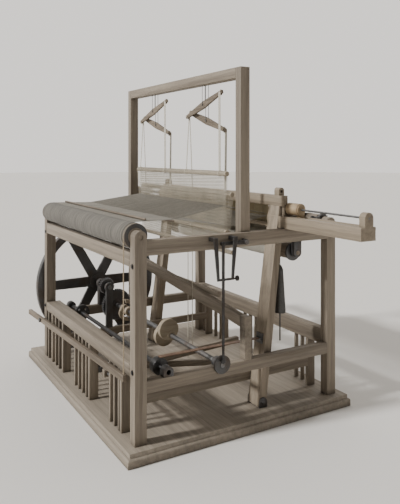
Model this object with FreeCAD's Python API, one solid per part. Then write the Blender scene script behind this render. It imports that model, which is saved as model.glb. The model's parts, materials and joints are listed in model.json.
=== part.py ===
# Wooden power loom with iron fittings, standing on a moulded plinth.
# Working frame of this file: X runs with the warp from the warp-beam end to the cloth end,
# Y runs across the cloth from the near side to the far side, Z is up from the plinth's top.
# Every piece is moved at the end so that the origin is the bottom centre of the whole loom.
import FreeCAD, Part
import math
import os

V = FreeCAD.Vector

# ---- driving dimensions, mm ----
frame_length = 1183.0        # outside the posts, along the warp
frame_width = 1423.0         # outside the posts, across the cloth
post_x = 58.0
post_y = 52.0
rail_t = 46.0                # thickness of the side rails
top_rail_z = (841.0, 910.0)
low_rail_z = (225.0, 280.0)
warp_rail_z = (789.0, 854.0)
warp_beam_board_z = (295.0, 348.0)
warp_beam_board_t = 84.0
cloth_rail_z = (264.0, 347.0)
cloth_rail_t = 46.0
gap = 0.3                    # standing clearance between moving pieces
fit = 0.05                   # radial running clearance of a shaft in its hole
bearing_z = 925.0            # axis of the warp roller and of the breast roller

plinth_h = 59.0
plinth_over = 57.0
plinth_far = 120.0           # extra ledge under the fly-wheel
plinth_deck_t = 14.0

board_t = 22.0               # thickness of the uprights and inner rails, across the loom
stub_depth = 50.0
picket_w = 13.0
picket_d = 22.0
inner_rail_z = (112.0, 157.0)
stub_y = (152.0, 581.0, 1037.0)
picket_groups = ((184.0, 54.0, 3), (632.0, 61.0, 4), (1112.0, 68.0, 2), (1330.0, 0.0, 1))

arch_x = 577.0
arch_post_x = 56.0
arch_post_y = 46.0
arch_inset = 20.0
arch_top_z = 1730.0
arch_beam_h = 54.0

guide_x = 590.0
guide_post_x = 38.0
guide_beam_z = (436.0, 492.0)
guide_beam_x = 34.0
guide_rise = 124.0           # far end of the march rail above its near end
guide_rail_y = (305.0, 1011.0)   # level rail bolted behind the march rail
guide_rail_z = (525.0, 553.0)
guide_rail_t = 18.0
cord_hole_r = 6.0

roller_x = 29.0
gudgeon_r = 12.0
warp_core_r = 38.0
warp_yarn_r = 60.0
warp_head_r = 58.0
warp_head_y = (54.0, 76.0)
warp_roll_y = 80.0           # ends of the wound yarn from the outside of the posts
brake_groove = 6.0
warp_y = (176.0, 1256.0)     # width of the warp
breast_r = 38.0
ratchet_teeth = 24
ratchet_r = 46.0
ratchet_t = 12.0
cloth_roller_x = 940.0
cloth_roller_z = 778.0
cloth_core_r = 40.0
cloth_wound_r = 48.0

cam_x = 450.0
cam_z = 290.0
shaft_r = 13.0
gear_module = 4.5
pinion_teeth = 22
cog_teeth = 44
gear_t = 26.0
main_x = 380.0
fly_r = 412.0
fly_rim_t = 48.0
fly_spoke = (34.0, 30.0)     # half width of a spoke at the hub and at the rim
fly_rim_w = 44.0
fly_hub_r = 52.0
fly_y = 1490.0
rock_x = 170.0
rock_z = 300.0
rock_drum_r = 40.0
rock_wheel_r = 48.0
rock_wheel_y = (1178.0, 1198.0)
cam_r = 58.0
cam_off = 34.0
crank_r = 44.0
crank_t = 14.0

sword_foot_x = 709.0         # warp side of the sword at the deck
sword_lean = 0.133           # run for each unit of rise
sword_t = (49.0, 38.0)
sword_y = (56.0, 146.0)
sword_top_z = 1024.0
pivot_z = 26.0
pivot_r = 9.0
cap_x = 845.0
cap_t = 34.0
cap_h = 55.0
cap_over = 28.0
race_x = (838.0, 928.0)
race_z = (912.0, 973.0)
race_top_z = 930.0
reed_seat = 12.0
race_over = 527.0
trough_x = (880.0, 920.0)
trough_end = 40.0
reed_x = 862.0
reed_t = 14.0
dent_t = 1.2
dent_w = 10.0
cell = 40.0                  # one dent of the reed to the next
spindle_r = 5.0
spindle_z = 1012.0
picker_r = 31.0
picker_len = 99.0
picker_travel = 400.0
shuttle_len = 240.0
shuttle_h = 24.0
shuttle_w = 34.0

heald_x = (592.0, 624.0)     # front and back heald
stave_r = 13.0
stave_up = 165.0             # upper stave above the eye
stave_down = 135.0           # lower stave below the eye
cord_r = 1.2
strap_r = 1.5
lever_eye = 186.0            # lever pin to the strap at either end
lease_x = 380.0
fell_x = 885.0
sheet_t = 1.0
ribbon_w = 35.0

lever_len = 400.0
lever_t = 12.0
lever_x = (598.0, 620.0)     # upper and lower lever of each set
lever_h = 40.0
lever_tilt = 17.0            # degrees at rest
lever_mid_y = (1042.0, 412.0)
lever_upper_z = 1566.0
lever_lower_z = 1478.0

treadle_y = (512.0, 620.0)
treadle_t = 30.0
treadle_h = 46.0
treadle_pivot_x = 78.0
treadle_pivot_z = 150.0
treadle_end_x = 900.0
treadle_rise = 46.0          # free end above the pivot at the top of the stroke

rocker_x = 580.0             # stud of the rocking lever in the near top rail
rocker_z = 868.0
rod_x_at = 442.0             # connecting rod
tension_x = (-36.0, -16.0)
tension_z = 232.0
tension_rise = 62.0          # near end of the lever above its stud
tension_over = 262.0         # far end of the lever beyond the post
tension_near = 50.0          # near end of the lever
weight_y = 116.0
weight_z = (700.0, 450.0)    # top and bottom of the weight
weight_r = 31.0
weight_tail_z = 300.0
knot_r = 3.0

L = frame_length
W = frame_width
pawl_at = (1080.0, 950.0)    # stud of the pawl
heald_shift = lever_eye * math.sin(math.radians(lever_tilt))  # each heald from the level warp
parts = {}


def box(x0, x1, y0, y1, z0, z1):
    return Part.makeBox(x1 - x0, y1 - y0, z1 - z0, V(x0, y0, z0))


def rod_y(x, z, r, y0, y1):
    return Part.makeCylinder(r, y1 - y0, V(x, y0, z), V(0, 1, 0))


def rod_x(y, z, r, x0, x1):
    return Part.makeCylinder(r, x1 - x0, V(x0, y, z), V(1, 0, 0))


def rod_z(x, y, r, z0, z1):
    return Part.makeCylinder(r, z1 - z0, V(x, y, z0), V(0, 0, 1))


def plate_xz(points, y0, y1):
    """A flat outline in the X-Z plane, thickened along Y."""
    wire = Part.makePolygon([V(x, y0, z) for x, z in points] + [V(points[0][0], y0, points[0][1])])
    return Part.Face(wire).extrude(V(0, y1 - y0, 0))


def plate_yz(points, x0, x1):
    """A flat outline in the Y-Z plane, thickened along X."""
    wire = Part.makePolygon([V(x0, y, z) for y, z in points] + [V(x0, points[0][0], points[0][1])])
    return Part.Face(wire).extrude(V(x1 - x0, 0, 0))


def mirror_y(shape):
    return shape.mirror(V(0, W / 2, 0), V(0, 1, 0))


def pair(shape):
    return [shape, mirror_y(shape)]


def keep(name, *shapes):
    solids = []
    for shape in shapes:
        solids += shape.Solids
    parts[name] = solids


def warp_line(x):
    """Height of the level warp between the two rollers."""
    start = bearing_z + warp_yarn_r + gap
    end = bearing_z + breast_r + gap
    return start + (end - start) * (x - roller_x) / (L - 2 * roller_x)


# ---- plinth and framing ----
def plinth():
    o = plinth_over
    far = W + o + plinth_far
    near = -o
    body = box(-o, L + o, near, far, -plinth_h, 0)
    edge_r = plinth_h * 0.42
    fillet_top = plinth_h * 0.12
    ring = []
    # ovolo moulding: a quarter round between two fillets, run round all four edges
    step = edge_r * 0.5
    for x0, y0, dx, dy, length in (
        (-o, near, 1, 0, L + 2 * o), (-o, far, 1, 0, L + 2 * o),
        (-o, near, 0, 1, far - near), (L + o, near, 0, 1, far - near),
    ):
        z_mid = -fillet_top - step
        cut = Part.makeBox(
            length if dx else 2 * step, length if dy else 2 * step, fillet_top + step,
            V(x0 if dx else x0 - step, y0 if dy else y0 - step, z_mid),
        )
        ring.append(cut)
    for cut in ring:
        body = body.cut(cut)
    body = body.removeSplitter()
    edges = [e for e in body.Edges if abs(e.BoundBox.ZMin + fillet_top + step) < 0.01
             and abs(e.BoundBox.ZMax + fillet_top + step) < 0.01 and e.Length > 500
             and (abs(e.BoundBox.XMin + o) < 0.01 and abs(e.BoundBox.XMax + o) < 0.01
                  or abs(e.BoundBox.XMax - L - o) < 0.01 and abs(e.BoundBox.XMin - L - o) < 0.01
                  or abs(e.BoundBox.YMin - near) < 0.01 and abs(e.BoundBox.YMax - near) < 0.01
                  or abs(e.BoundBox.YMax - far) < 0.01 and abs(e.BoundBox.YMin - far) < 0.01)]
    body = body.makeFillet(step * 0.9, edges)
    keep("plinth", body)


def bored_post(x0, y0):
    post = box(x0, x0 + post_x, y0, y0 + post_y, 0, bearing_z)
    top = rod_y(x0 + post_x / 2, bearing_z, post_x / 2, y0, y0 + post_y)
    bore = rod_y(x0 + post_x / 2, bearing_z, gudgeon_r + fit, y0 - 1, y0 + post_y + 1)
    return post.fuse(top).removeSplitter().cut(bore)


def framing():
    for name, x0 in (("warp", 0), ("cloth", L - post_x)):
        keep(name + "_end_posts", *pair(bored_post(x0, 0)))
    inside = (post_x, L - post_x)
    top = box(inside[0], inside[1], 0, rail_t, top_rail_z[0], top_rail_z[1])
    low = box(inside[0], inside[1], 0, rail_t, low_rail_z[0], low_rail_z[1])
    bore = rod_y(cam_x, cam_z, shaft_r + fit, -1, rail_t + 1)
    low = low.cut(bore)
    keep("top_rails", *pair(top))
    keep("lower_rails", *pair(low))
    between = (post_y, W - post_y)
    upper = box(0, rail_t, between[0], between[1], warp_rail_z[0], warp_rail_z[1])
    lower = box(0, warp_beam_board_t, between[0], between[1], warp_beam_board_z[0], warp_beam_board_z[1])
    keep("warp_end_rails", upper, lower)
    keep("cloth_end_rail", box(L - post_x, L - post_x + cloth_rail_t, between[0], between[1],
                               cloth_rail_z[0], cloth_rail_z[1]))


def uprights(x0, direction, top):
    """Stub posts and pickets that stand under a cross beam."""
    solids = []
    for y in stub_y + (W - stub_y[0] - board_t,):
        a, b = sorted((x0, x0 + direction * stub_depth))
        solids.append(box(a, b, y, y + board_t, 0, top))
    for start, pitch, count in picket_groups:
        for i in range(count):
            a, b = sorted((x0, x0 + direction * picket_d))
            y = start + i * pitch
            solids.append(box(a, b, y, y + picket_w, 0, top))
    return solids


def uprights_and_inner_rails():
    keep("warp_end_uprights", *uprights(0, 1, warp_beam_board_z[0]))
    keep("cloth_end_uprights", *uprights(L - post_x + cloth_rail_t, -1, cloth_rail_z[0]))
    x1 = L - post_x + cloth_rail_t - stub_depth
    rail = box(stub_depth, x1, stub_y[0], stub_y[0] + board_t, inner_rail_z[0], inner_rail_z[1])
    keep("inner_rails", *pair(rail))


def arch():
    y0 = arch_inset
    tail = box(arch_x, arch_x + arch_post_x, rail_t, y0 + arch_post_y, top_rail_z[0], top_rail_z[1])
    post = box(arch_x, arch_x + arch_post_x, y0, y0 + arch_post_y, top_rail_z[1], arch_top_z)
    post = post.fuse(tail).removeSplitter()
    keep("arch_posts", *pair(post))
    y_in = y0 + arch_post_y
    keep("arch_top_beam", box(arch_x, arch_x + arch_post_x, y_in, W - y_in,
                              arch_top_z - arch_beam_h, arch_top_z))


def guide_frame():
    """March rail that rises to the far side on two posts, and the level rail bolted behind it."""
    x0, x1 = guide_x, guide_x + guide_beam_x
    low, high = guide_beam_z
    near = box(guide_x, guide_x + guide_post_x, 0, rail_t, low_rail_z[1], high)
    far = box(guide_x, guide_x + guide_post_x, W - rail_t, W, low_rail_z[1], high + guide_rise)
    beam = plate_yz([(rail_t, low), (W - rail_t, low + guide_rise), (W - rail_t, high + guide_rise),
                     (rail_t, high)], x0, x1)
    rail = box(x1, x1 + guide_rail_t, *guide_rail_y, *guide_rail_z)
    for x, y in zip(heald_x, treadle_y):
        hole = rod_z(x, y + treadle_t / 2, cord_hole_r, low - 1, high + guide_rise + 1)
        beam = beam.cut(hole)
        rail = rail.cut(hole)
    keep("guide_frame", beam, rail, near, far)


# ---- rollers ----
def rollers():
    barrel = rod_y(roller_x, bearing_z, warp_core_r, post_y + gap, W - post_y - gap)
    h0, h1 = warp_head_y
    for y0, y1 in ((h0, h1), (W - h1, W - h0)):
        barrel = barrel.fuse(rod_y(roller_x, bearing_z, warp_head_r, y0, y1))
    barrel = barrel.fuse(rod_y(roller_x, bearing_z, gudgeon_r, 4, W - 4)).removeSplitter()
    groove = rod_y(roller_x, bearing_z, warp_head_r + 1, h0 + 7, h1 - 7)
    groove = groove.cut(rod_y(roller_x, bearing_z, warp_head_r - brake_groove, h0, h1))
    keep("warp_roller", barrel.cut(groove))
    yarn = rod_y(roller_x, bearing_z, warp_yarn_r, warp_roll_y, W - warp_roll_y)
    keep("warp_yarn", yarn.cut(rod_y(roller_x, bearing_z, warp_core_r, 0, W)))

    x = L - roller_x
    barrel = rod_y(x, bearing_z, breast_r, 90, W - post_y - gap)
    axle = rod_y(x, bearing_z, gudgeon_r, 4, W - 4)
    keep("breast_roller", barrel.fuse(axle).removeSplitter())
    keep("ratchet_wheel", ratchet(x, bearing_z, 62, 62 + ratchet_t))

    x, z = cloth_roller_x, cloth_roller_z
    barrel = rod_y(x, z, cloth_core_r, 70, W - 70)
    barrel = barrel.fuse(rod_y(x, z, gudgeon_r, 18, W - 18)).removeSplitter()
    keep("cloth_roller", barrel)
    roll = rod_y(x, z, cloth_wound_r, warp_y[0], warp_y[1])
    keep("wound_cloth", roll.cut(rod_y(x, z, cloth_core_r, 0, W)))


def ratchet(x, z, y0, y1):
    depth = ratchet_r * 0.16
    points = []
    for i in range(ratchet_teeth):
        a = 2 * math.pi * i / ratchet_teeth
        b = 2 * math.pi * (i + 0.9) / ratchet_teeth
        points.append((x + ratchet_r * math.cos(a), z + ratchet_r * math.sin(a)))
        points.append((x + (ratchet_r - depth) * math.cos(b), z + (ratchet_r - depth) * math.sin(b)))
    wheel = plate_xz(points, y0, y1)
    return wheel.cut(rod_y(x, z, gudgeon_r, y0 - 1, y1 + 1))


def pawl():
    """Detent above the ratchet, turning on a stud that stands on the near top rail."""
    x, z = L - roller_x, bearing_z
    px, pz = pawl_at
    reach = ratchet_r + 2 * gap
    angle = math.radians(165.0)
    tip = (x + reach * math.cos(angle), z + reach * math.sin(angle))
    y0, y1 = 63, 71
    arm = plate_xz([(px - 3, pz - 9), (tip[0] - 4, tip[1] - 1), tip, (tip[0] - 1, tip[1] + 6), (px + 3, pz + 9)],
                   y0, y1)
    boss = rod_y(px, pz, 10, y0 - 2, y1 + 2)
    stud_hole = rod_y(px, pz, 5 + fit, y0 - 5, y1 + 5)
    keep("ratchet_pawl", arm.fuse(boss).removeSplitter().cut(stud_hole))


# ---- shafts and wheels ----
def gear(x, z, teeth, y0, y1, bore, turn):
    m = gear_module
    r = m * teeth / 2
    add = m * 0.80
    ded = m * 1.0
    points = []
    for i in range(teeth):
        a = turn + 2 * math.pi * i / teeth
        half = math.pi / teeth
        for frac, radius in ((-0.62, r - ded), (-0.44, r - ded * 0.4), (-0.21, r + add),
                             (0.21, r + add), (0.44, r - ded * 0.4), (0.62, r - ded)):
            t = a + half * frac
            points.append((x + radius * math.cos(t), z + radius * math.sin(t)))
    wheel = plate_xz(points, y0, y1)
    return wheel.cut(rod_y(x, z, bore, y0 - 1, y1 + 1))


def shafts():
    centre = gear_module * (pinion_teeth + cog_teeth) / 2
    main_z = cam_z + math.sqrt(centre ** 2 - (cam_x - main_x) ** 2)
    line = math.atan2(main_z - cam_z, main_x - cam_x)
    g0 = W - rail_t - 60 - gear_t
    g1 = g0 + gear_t
    wheel = gear(cam_x, cam_z, cog_teeth, g0, g1, shaft_r, line)
    web = rod_y(cam_x, cam_z, gear_module * cog_teeth / 2 - 22, g0 - 1, g0 + 8)
    web = web.cut(rod_y(cam_x, cam_z, 30, g0 - 2, g0 + 9))
    keep("cog_wheel", wheel.cut(web))
    keep("pinion", gear(main_x, main_z, pinion_teeth, g0, g1, shaft_r, line + math.pi + math.pi / pinion_teeth))

    keep("cam_shaft", rod_y(cam_x, cam_z, shaft_r, -crank_t - 4, W + 6))
    far_end = fly_y + fly_rim_w / 2 + 10
    keep("main_shaft", rod_y(main_x, main_z, shaft_r, W - stub_y[0] - board_t - 10, far_end))
    keep("flywheel", flywheel(main_x, main_z))

    discs = []
    for y, side in ((treadle_y[0], 1), (treadle_y[1], -1)):
        disc = rod_y(cam_x - side * cam_off * 0.4, cam_z + side * cam_off, cam_r, y, y + treadle_t)
        hub = rod_y(cam_x, cam_z, 26, y - 6, y + treadle_t)
        discs.append(disc.fuse(hub).removeSplitter().cut(rod_y(cam_x, cam_z, shaft_r, 0, W)))
    wipers = [wiper(y, side) for y, side in ((1090.0, 1), (1160.0, -1))]
    keep("cams", *(discs + wipers))
    disc = rod_y(cam_x, cam_z, crank_r, -crank_t - 2, -2)
    keep("crank_disc", disc.cut(rod_y(cam_x, cam_z, shaft_r, -50, 5)))

    drum = rod_y(rock_x, rock_z, rock_drum_r, post_y + 34, post_y + 74)
    wheel = rod_y(rock_x, rock_z, rock_wheel_r, *rock_wheel_y)
    for i in range(4):
        a = math.radians(90 * i + 45)
        wheel = wheel.cut(rod_y(rock_x + 29 * math.cos(a), rock_z + 29 * math.sin(a), 8, *rock_wheel_y))
    shaft = rod_y(rock_x, rock_z, shaft_r - 2, rail_t - 20, W - rail_t + 20)
    keep("rocking_shaft", shaft.fuse(drum).fuse(wheel).removeSplitter())
    return main_z


def wiper(y, side):
    """Horn-shaped striking plate on the cam shaft."""
    outer = 84.0
    start = 0 if side > 0 else math.pi
    points = []
    steps = 16
    for i in range(steps + 1):
        t = start + math.radians(110.0) * i / steps
        r = 30 + (outer - 30) * i / steps
        points.append((cam_x + r * math.cos(t), cam_z + r * math.sin(t)))
    for i in range(steps, -1, -1):
        t = start + math.radians(110.0) * i / steps
        r = 14 + (outer - 40) * i / steps
        points.append((cam_x + r * math.cos(t), cam_z + r * math.sin(t)))
    plate = plate_xz(points, y, y + 16)
    hub = rod_y(cam_x, cam_z, 28, y - 6, y + 22)
    return plate.fuse(hub).removeSplitter().cut(rod_y(cam_x, cam_z, shaft_r, 0, W))


def flywheel(x, z):
    y0, y1 = fly_y - fly_rim_w / 2, fly_y + fly_rim_w / 2
    rim = rod_y(x, z, fly_r, y0, y1).cut(rod_y(x, z, fly_r - fly_rim_t, y0 - 1, y1 + 1))
    hub = rod_y(x, z, fly_hub_r, fly_y - 24, fly_y + 24)
    wheel = rim.fuse(hub)
    for i in range(6):
        a = math.radians(60 * i)
        c, s = math.cos(a), math.sin(a)
        r0, r1 = fly_hub_r - 8, fly_r - fly_rim_t + 6
        w0, w1 = fly_spoke
        outline = [(x + r0 * c - w0 * s, z + r0 * s + w0 * c), (x + r1 * c - w1 * s, z + r1 * s + w1 * c),
                   (x + r1 * c + w1 * s, z + r1 * s - w1 * c), (x + r0 * c + w0 * s, z + r0 * s - w0 * c)]
        wheel = wheel.fuse(plate_xz(outline, fly_y - 9, fly_y + 9))
    return wheel.removeSplitter().cut(rod_y(x, z, shaft_r, y0 - 20, y1 + 20))


def bearing(x, z, r, y0, y1, foot_z):
    """Iron pedestal bearing standing on a timber."""
    half = r + 14
    block = box(x - half, x + half, y0, y1, foot_z, z)
    cap = rod_y(x, z, half, y0, y1).cut(box(x - 99, x + 99, y0 - 1, y1 + 1, 0, foot_z))
    return block.fuse(cap).removeSplitter().cut(rod_y(x, z, r + fit, y0 - 1, y1 + 1))


def iron_bearings(main_z):
    solids = []
    rail_ys = ((2.0, rail_t - 2), (W - rail_t + 2, W - 2))
    for y0, y1 in rail_ys:
        solids.append(bearing(cam_x, cam_z, shaft_r, y0, y1, low_rail_z[1]))
        solids.append(bearing(rock_x, rock_z, shaft_r - 2, y0, y1, low_rail_z[1]))
    # the main shaft runs in two tall pedestals, on the far lower rail and on the far inner rail
    inner_y = W - stub_y[0] - board_t
    for y0, y1, foot in ((rail_ys[1][0], rail_ys[1][1], low_rail_z[1]), (inner_y, inner_y + board_t, inner_rail_z[1])):
        post = box(main_x - 22, main_x + 22, y0, y1, foot, main_z)
        head = rod_y(main_x, main_z, 30, y0, y1)
        bore = rod_y(main_x, main_z, shaft_r + fit, y0 - 1, y1 + 1)
        solids.append(post.fuse(head).removeSplitter().cut(bore))
    # stud of the pawl on the near top rail
    px, pz = pawl_at
    block = box(px - 10, px + 10, 20, rail_t - 2, top_rail_z[1], pz + 8)
    solids.append(block.fuse(rod_y(px, pz, 5, 22, 76)).removeSplitter())
    # hangers of the cloth roller under the top rails
    x, z = cloth_roller_x, cloth_roller_z
    half = gudgeon_r + 12
    hanger = box(x - half, x + half, 20, rail_t, z, top_rail_z[0]).fuse(rod_y(x, z, half, 20, rail_t))
    solids += pair(hanger.removeSplitter().cut(rod_y(x, z, gudgeon_r + fit, 0, 60)))
    # cheeks and pins on which the swords of the batten turn
    x, z = pivot_x(), pivot_z
    group = rod_y(x, z, pivot_r, sword_y[0] - 14, sword_y[1] + 14)
    for y in (sword_y[0] - 8, sword_y[1] + 2):
        group = group.fuse(box(x - 24, x + 24, y, y + 6, 0, z)).fuse(rod_y(x, z, 24, y, y + 6))
    solids += pair(group.removeSplitter())
    keep("iron_bearings", *solids)


# ---- batten ----
def sword_outline():
    def side(z):
        return sword_foot_x + sword_lean * z
    z0, z1 = 6.0, sword_top_z
    return [(side(z0), z0), (side(z0) + sword_t[0], z0), (side(z1) + sword_t[1], z1), (side(z1), z1)]


def pivot_x():
    return sword_foot_x + sword_lean * pivot_z + sword_t[0] / 2


def batten():
    sword = plate_xz(sword_outline(), sword_y[0], sword_y[1])
    bore = rod_y(pivot_x(), pivot_z, pivot_r + fit, sword_y[0] - 1, sword_y[1] + 1)
    sword = sword.cut(bore)
    keep("batten_swords", *pair(sword))

    cap = box(cap_x, cap_x + cap_t, cap_over, W - cap_over, sword_top_z, sword_top_z + cap_h)
    groove = box(reed_x - reed_t / 2, reed_x + reed_t / 2, sword_y[1] + 6, W - sword_y[1] - 6,
                 sword_top_z - 1, sword_top_z + 12)
    keep("lay_cap", cap.cut(groove))

    race = box(race_x[0], race_x[1], -race_over, W + race_over, race_z[0], race_z[1])
    low = box(race_x[0] - 1, race_x[1] + 1, sword_y[1] + 6, W - sword_y[1] - 6, race_top_z, race_z[1] + 1)
    trough = box(trough_x[0], trough_x[1], -race_over + trough_end, W + race_over - trough_end,
                 race_top_z, race_z[1] + 1)
    seat = box(reed_x - reed_t / 2, reed_x + reed_t / 2, sword_y[1] + 6, W - sword_y[1] - 6,
               race_top_z - reed_seat, race_top_z + 1)
    race = race.cut(low).cut(trough).cut(seat)
    for s in pair(plate_xz(sword_outline(), sword_y[0], sword_y[1])):
        race = race.cut(s)
    keep("race_beam", race)

    y0, y1 = sword_y[1] + 6, W - sword_y[1] - 6
    z0, z1 = race_top_z - reed_seat, sword_top_z + 12
    solid = box(reed_x - reed_t / 2, reed_x + reed_t / 2, y0, y1, z0, z0 + 16)
    solid = solid.fuse(box(reed_x - reed_t / 2, reed_x + reed_t / 2, y0, y1, z1 - 16, z1))
    for y in dent_lines():
        solid = solid.fuse(box(reed_x - dent_w / 2, reed_x + dent_w / 2, y - dent_t / 2, y + dent_t / 2,
                               z0 + 8, z1 - 8))
    keep("reed", solid.removeSplitter())

    ends = []
    block_x = (spindle_x() - 26, spindle_x() + 26)
    block = box(block_x[0], block_x[1], -race_over, -race_over + 35, race_z[1], spindle_z)
    block = block.fuse(rod_y(spindle_x(), spindle_z, 26, -race_over, -race_over + 35)).removeSplitter()
    spindle = rod_y(spindle_x(), spindle_z, spindle_r, -race_over, sword_y[0] - 2)
    block = block.cut(rod_y(spindle_x(), spindle_z, spindle_r, -race_over - 1, 0))
    ends += pair(block)
    inner = box(block_x[0] - 4, block_x[1] - 4, cap_over, cap_over + 20, race_z[1], sword_top_z)
    inner = inner.cut(rod_y(spindle_x(), spindle_z, spindle_r, 0, 80))
    inner = inner.cut(plate_xz(sword_outline(), sword_y[0], sword_y[1]))
    ends += pair(inner)
    block = box(cap_x, cap_x + cap_t, cap_over + 30, cap_over + 70, sword_top_z + cap_h,
                sword_top_z + cap_h + 24)
    block = block.fuse(rod_y(cap_x + cap_t / 2, sword_top_z + cap_h + 24, cap_t / 2,
                             cap_over + 30, cap_over + 70)).removeSplitter()
    hole = box(cap_x + 10, cap_x + 24, cap_over + 29, cap_over + 71,
               sword_top_z + cap_h + 14, sword_top_z + cap_h + 28)
    keep("batten_blocks", *(ends + pair(block.cut(hole))))
    keep("batten_irons", draw_staple(), *pair(spindle))


def draw_staple():
    """Plate and staple on the near sword that hold the end of the draw strap."""
    z = draw_z()
    y = (sword_y[0] + sword_y[1]) / 2
    face = sword_foot_x + sword_lean * z
    staple = rod_y(face - 14, z, 4, y - 20, y + 20)
    for y0 in (y - 20, y + 16):
        staple = staple.fuse(box(face - 18, face + 6, y0, y0 + 4, z - 5, z + 5))
    staple = staple.fuse(box(face - 4, face + 6, y - 26, y + 26, z - 26, z + 26)).removeSplitter()
    return staple.cut(plate_xz(sword_outline(), sword_y[0], sword_y[1]))


def draw_z():
    return rock_z + rock_drum_r + gap


def draw_strap():
    """Leather strap from the top of the rocking drum to the staple on the near sword."""
    y = (sword_y[0] + sword_y[1]) / 2
    z = draw_z()
    eye_x = sword_foot_x + sword_lean * z - 14
    band = box(rock_x, eye_x, y - 14, y + 14, z, z + 4).fuse(rod_y(eye_x, z, 9, y - 14, y + 14))
    keep("draw_strap", band.removeSplitter().cut(rod_y(eye_x, z, 4 + fit, y - 15, y + 15)))


def spindle_x():
    return (trough_x[0] + trough_x[1]) / 2 - 12


def dent_lines():
    n = int((warp_y[1] - warp_y[0]) / cell)
    return [warp_y[0] + i * cell for i in range(n + 1)]


def pickers_and_shuttle():
    x = spindle_x()
    y1 = cap_over - gap
    y0 = y1 - picker_len
    drum = rod_y(x, spindle_z, picker_r, y0 + 6, y1 - 6)
    for a, b in ((y0, y0 + 6), (y1 - 6, y1)):
        drum = drum.fuse(rod_y(x, spindle_z, picker_r - 5, a, b))
    tx = (trough_x[0] + trough_x[1]) / 2
    foot = box(tx - 14, tx + 14, y0 + 8, y0 + 34, race_top_z + 4, spindle_z - 6)
    picker = drum.fuse(foot).removeSplitter().cut(rod_y(x, spindle_z, spindle_r + fit, y0 - 9, y1 + 9))
    keep("near_picker", picker)
    keep("far_picker", mirror_y(picker))

    y_out = y0 + 34 + gap
    half = shuttle_w / 2
    z0, z1 = race_top_z + gap, race_top_z + gap + shuttle_h
    y_in = y_out + shuttle_len
    tip = 52.0
    arc_a = Part.Arc(V(tx, y_out, z0), V(tx - half * 0.72, y_out + tip * 0.42, z0), V(tx - half, y_out + tip, z0))
    arc_b = Part.Arc(V(tx - half, y_in - tip, z0), V(tx - half * 0.72, y_in - tip * 0.42, z0), V(tx, y_in, z0))
    arc_c = Part.Arc(V(tx, y_in, z0), V(tx + half * 0.72, y_in - tip * 0.42, z0), V(tx + half, y_in - tip, z0))
    arc_d = Part.Arc(V(tx + half, y_out + tip, z0), V(tx + half * 0.72, y_out + tip * 0.42, z0), V(tx, y_out, z0))
    wire = Part.Wire([
        arc_a.toShape(), Part.LineSegment(V(tx - half, y_out + tip, z0), V(tx - half, y_in - tip, z0)).toShape(),
        arc_b.toShape(), arc_c.toShape(),
        Part.LineSegment(V(tx + half, y_in - tip, z0), V(tx + half, y_out + tip, z0)).toShape(),
        arc_d.toShape(),
    ])
    body = Part.Face(wire).extrude(V(0, 0, z1 - z0))
    slot = box(tx - half * 0.6, tx + half * 0.6, y_out + tip + 22, y_in - tip - 22, z0 + 6, z1 + 1)
    body = body.cut(slot)
    pirn = rod_y(tx, z0 + 14, 6.5, y_out + tip + 26, y_in - tip - 26)
    pin = rod_y(tx, z0 + 14, 2.0, y_out + tip + 20, y_in - tip - 20)
    body = body.cut(rod_y(tx, z0 + 14, 2.0, y_out + tip + 19, y_in - tip - 19))
    keep("shuttle", body, pirn.fuse(pin).removeSplitter())


# ---- healds, warp and levers ----
def ribbon(points, y, width):
    """A flat band of warp along a path of X-Z points."""
    top = [(x, z + sheet_t) for x, z in points]
    return plate_xz(points + top[::-1], y, y + width)


def warp_and_cloth():
    upper, lower = [], []
    lines = dent_lines()
    for i in range(len(lines) - 1):
        y = lines[i] + (cell - ribbon_w) / 2
        up = i % 2 == 0
        x_mid = heald_x[0] if up else heald_x[1]
        shift = heald_shift if up else -heald_shift
        path = [(roller_x, warp_line(roller_x)), (lease_x, warp_line(lease_x)),
                (x_mid, warp_line(x_mid) + shift), (fell_x, warp_line(fell_x))]
        (upper if up else lower).append(ribbon(path, y, ribbon_w))
    keep("upper_warp", *upper)
    keep("lower_warp", *lower)

    bx, bz, br = L - roller_x, bearing_z, breast_r + gap
    cx, cz, cr = cloth_roller_x, cloth_roller_z, cloth_wound_r + gap
    dist = math.hypot(bx - cx, bz - cz)
    base = math.atan2(cz - bz, cx - bx)
    swing = math.asin((cr - br) / dist)
    normal = base + math.pi / 2 + swing

    # the cloth leaves the fell, wraps the breast roller and runs on to the cloth roller
    steps = 24
    start, stop = math.pi / 2, normal

    def edge(offset):
        points = [(fell_x, warp_line(fell_x) + offset)]
        for i in range(steps + 1):
            t = start + (stop - start) * i / steps
            points.append((bx + (br + offset) * math.cos(t), bz + (br + offset) * math.sin(t)))
        return points + [(cx + (cr + offset) * math.cos(stop), cz + (cr + offset) * math.sin(stop))]
    keep("cloth", plate_xz(edge(0) + edge(sheet_t)[::-1], warp_y[0], warp_y[1]))


def heald(index, name):
    x = heald_x[index]
    shift = heald_shift if index == 0 else -heald_shift
    eye = warp_line(x) + shift
    y0, y1 = 165.0, W - 165.0
    up = rod_y(x, eye + stave_up, stave_r, y0, y1)
    down = rod_y(x, eye - stave_down, stave_r - 2, y0, y1)
    keep(name + "_heald_staves", up, down)
    cords = [rod_z(x, y, cord_r, eye - stave_down + stave_r - 2, eye + stave_up - stave_r)
             for y in dent_lines()]
    keep(name + "_heald_cords", *cords)
    return eye


def slant(a, b, r):
    d = b.sub(a)
    return Part.makeCylinder(r, d.Length, a, d)


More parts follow.
